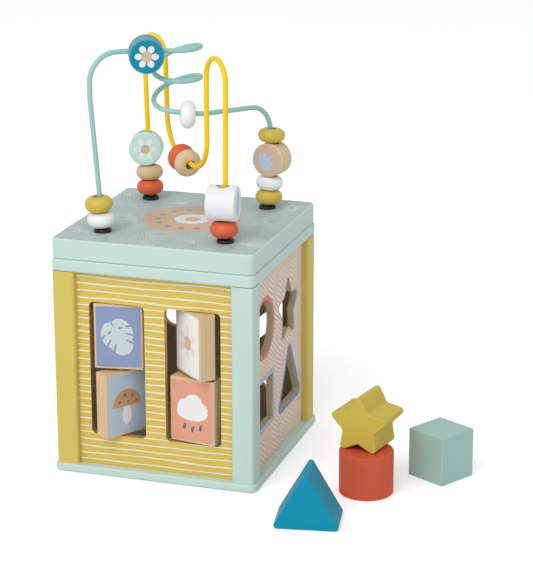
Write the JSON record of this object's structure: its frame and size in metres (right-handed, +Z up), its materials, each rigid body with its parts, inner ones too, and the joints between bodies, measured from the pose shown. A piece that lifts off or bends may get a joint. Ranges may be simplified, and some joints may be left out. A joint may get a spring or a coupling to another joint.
{
  "type": "shape sorter",
  "caption": "Wooden activity cube with shaped sorting holes and loose blocks to post in them, turning picture blocks in its front, and a lid that carries a bead maze on bent wires.",
  "frame": {"origin": "middle of the cube's underside, on the surface it stands on", "axes": "+Z up; -Y is the side with the turning picture blocks; +X is the side with the sorting holes"},
  "size_m": [0.2968, 0.213, 0.3184],
  "materials": {
    "mint_wood": "satin paint on wood",
    "mustard_wood": "satin paint on wood",
    "yellow_panel": "matt paint with thin pale wavy lines",
    "sorting_panel": "bare wood with a pale printed hatch",
    "lid_top": "satin paint with a pale print",
    "bare_wood": "clear satin lacquer",
    "picture_faces": "clear lacquer with printed faces",
    "yellow_wire": "gloss coat on steel wire",
    "mint_wire": "gloss coat on steel wire",
    "black_plastic": "gloss",
    "steel": "zinc plated",
    "red_paint": "satin paint on wood",
    "mustard_paint": "satin paint on wood",
    "white_paint": "satin paint on wood",
    "blue_paint": "satin paint on wood",
    "mint_paint": "satin paint on wood"
  },
  "bodies": {
    "cube": {"base_board": "mint_wood", "post_front_left": "mustard_wood", "post_front_right": "mint_wood", "post_back_left": "mint_wood", "post_back_right": "mustard_wood", "front_panel": "yellow_panel", "right_panel": "sorting_panel", "back_panel": "bare_wood", "left_panel": "bare_wood", "upper_rim": "mint_wood", "base_screws": "steel", "rim_dowels": "bare_wood", "spinner_rod_left": "steel", "spinner_rod_right": "steel", "spinner_spacers": "steel"},
    "lid": {"lid_board": "lid_top", "lid_plug": "bare_wood", "lid_plug_screws": "steel", "yellow_wire": "yellow_wire", "mint_wire": "mint_wire", "wire_collars": "black_plastic", "wire_nuts": "steel"},
    "knob": {"track_knob": "red_paint", "track_washer": "bare_wood", "track_screw": "steel"},
    "picture_block_upper_left": {"picture_block_upper_left": "picture_faces"},
    "picture_block_lower_left": {"picture_block_lower_left": "picture_faces"},
    "picture_block_upper_right": {"picture_block_upper_right": "picture_faces"},
    "picture_block_lower_right": {"picture_block_lower_right": "picture_faces"},
    "sorter_cylinder": {"sorter_cylinder": "red_paint"},
    "sorter_star": {"sorter_star": "mustard_paint"},
    "sorter_cube": {"sorter_cube": "mint_paint"},
    "sorter_prism": {"sorter_prism": "blue_paint"},
    "bead_white_front_left": {"bead_white_front_left": "white_paint"},
    "bead_mustard_front_left": {"bead_mustard_front_left": "mustard_paint"},
    "bead_red_back_left": {"bead_red_back_left": "red_paint"},
    "bead_wood_back_left": {"bead_wood_back_left": "bare_wood"},
    "disc_mint_back_left": {"disc_mint_back_left": "mint_paint"},
    "bead_red_front_right": {"bead_red_front_right": "red_paint"},
    "drum_white_front_right": {"drum_white_front_right": "white_paint"},
    "bead_mustard_back_right": {"bead_mustard_back_right": "mustard_paint"},
    "bead_white_back_right": {"bead_white_back_right": "white_paint"},
    "disc_wood_back_right": {"disc_wood_back_right": "bare_wood"},
    "bead_mustard_top_back_right": {"bead_mustard_top_back_right": "mustard_paint"},
    "bead_red_dip": {"bead_red_dip": "red_paint"},
    "bead_wood_dip": {"bead_wood_dip": "bare_wood"},
    "bead_white_coil": {"bead_white_coil": "white_paint"},
    "disc_blue_shoulder": {"disc_blue_shoulder": "blue_paint"}
  },
  "joints": [
    {"name": "lid_lift", "type": "slide", "parent": "cube", "child": "lid", "axis": [0, 0, 1], "range_m": [0, 0.06]},
    {"name": "picture_block_upper_left_spin", "type": "hinge", "parent": "cube", "child": "picture_block_upper_left", "pos_m": [-0.02892, -0.0643, 0.10615], "axis": [0, 0, 1], "continuous": true},
    {"name": "picture_block_lower_left_spin", "type": "hinge", "parent": "cube", "child": "picture_block_lower_left", "pos_m": [-0.02892, -0.0643, 0.05525], "axis": [0, 0, 1], "continuous": true},
    {"name": "picture_block_upper_right_spin", "type": "hinge", "parent": "cube", "child": "picture_block_upper_right", "pos_m": [0.02892, -0.0643, 0.10615], "axis": [0, 0, 1], "continuous": true},
    {"name": "picture_block_lower_right_spin", "type": "hinge", "parent": "cube", "child": "picture_block_lower_right", "pos_m": [0.02892, -0.0643, 0.05525], "axis": [0, 0, 1], "continuous": true},
    {"name": "sorter_cylinder_lift", "type": "slide", "parent": "cube", "child": "sorter_cylinder", "axis": [0, 0, 1], "range_m": [0, 0.05]},
    {"name": "sorter_star_lift", "type": "slide", "parent": "sorter_cylinder", "child": "sorter_star", "axis": [0, 0, 1], "range_m": [0, 0.05]},
    {"name": "sorter_cube_lift", "type": "slide", "parent": "cube", "child": "sorter_cube", "axis": [0, 0, 1], "range_m": [0, 0.05]},
    {"name": "sorter_prism_lift", "type": "slide", "parent": "cube", "child": "sorter_prism", "axis": [0, 0, 1], "range_m": [0, 0.05]},
    {"name": "knob_slide", "type": "slide", "parent": "cube", "child": "knob", "axis": [1, 0, 0], "range_m": [-0.0085, 0.053]},
    {"name": "bead_white_front_left_slide", "type": "slide", "parent": "lid", "child": "bead_white_front_left", "axis": [-0.0541, -0.0566, 0.9969], "range_m": [0, 0.034]},
    {"name": "bead_mustard_front_left_slide", "type": "slide", "parent": "bead_white_front_left", "child": "bead_mustard_front_left", "axis": [-0.0541, -0.0566, 0.9969], "range_m": [0, 0.034]},
    {"name": "bead_red_back_left_slide", "type": "slide", "parent": "lid", "child": "bead_red_back_left", "axis": [-0.0439, 0.046, 0.998], "range_m": [0, 0.019]},
    {"name": "bead_wood_back_left_slide", "type": "slide", "parent": "bead_red_back_left", "child": "bead_wood_back_left", "axis": [-0.0439, 0.046, 0.998], "range_m": [0, 0.019]},
    {"name": "disc_mint_back_left_slide", "type": "slide", "parent": "bead_wood_back_left", "child": "disc_mint_back_left", "axis": [-0.0439, 0.046, 0.998], "range_m": [0, 0.019]},
    {"name": "bead_red_front_right_slide", "type": "slide", "parent": "lid", "child": "bead_red_front_right", "axis": [0.0125, -0.0131, 0.9998], "range_m": [0, 0.034]},
    {"name": "drum_white_front_right_slide", "type": "slide", "parent": "bead_red_front_right", "child": "drum_white_front_right", "axis": [0.0125, -0.0131, 0.9998], "range_m": [0, 0.034]},
    {"name": "bead_mustard_back_right_spin", "type": "hinge", "parent": "lid", "child": "bead_mustard_back_right", "pos_m": [0.04797, 0.04955, 0.187], "axis": [0.0345, 0.0362, 0.9987], "continuous": true},
    {"name": "bead_white_back_right_spin", "type": "hinge", "parent": "lid", "child": "bead_white_back_right", "pos_m": [0.04834, 0.04993, 0.1977], "axis": [0.0345, 0.0362, 0.9987], "continuous": true},
    {"name": "disc_wood_back_right_spin", "type": "hinge", "parent": "lid", "child": "disc_wood_back_right", "pos_m": [0.05011, 0.05096, 0.2159], "axis": [0.0345, 0.0362, 0.9987], "continuous": true},
    {"name": "bead_mustard_top_back_right_spin", "type": "hinge", "parent": "lid", "child": "bead_mustard_top_back_right", "pos_m": [0.0496, 0.05124, 0.2339], "axis": [0.0345, 0.0362, 0.9987], "continuous": true},
    {"name": "bead_red_dip_spin", "type": "hinge", "parent": "lid", "child": "bead_red_dip", "pos_m": [-0.00588, 0.00615, 0.22324], "axis": [0.6864, -0.7187, -0.1107], "continuous": true},
    {"name": "bead_wood_dip_spin", "type": "hinge", "parent": "lid", "child": "bead_wood_dip", "pos_m": [0.00198, -0.00207, 0.22142], "axis": [0.6864, -0.7187, -0.1107], "continuous": true},
    {"name": "bead_white_coil_spin", "type": "hinge", "parent": "lid", "child": "bead_white_coil", "pos_m": [0.00731, -0.01493, 0.26069], "axis": [0.9255, 0.3739, -0.0596], "continuous": true},
    {"name": "disc_blue_shoulder_spin", "type": "hinge", "parent": "lid", "child": "disc_blue_shoulder", "pos_m": [-0.01922, -0.027, 0.30532], "axis": [0.9167, 0.3986, -0.0266], "continuous": true}
  ]
}
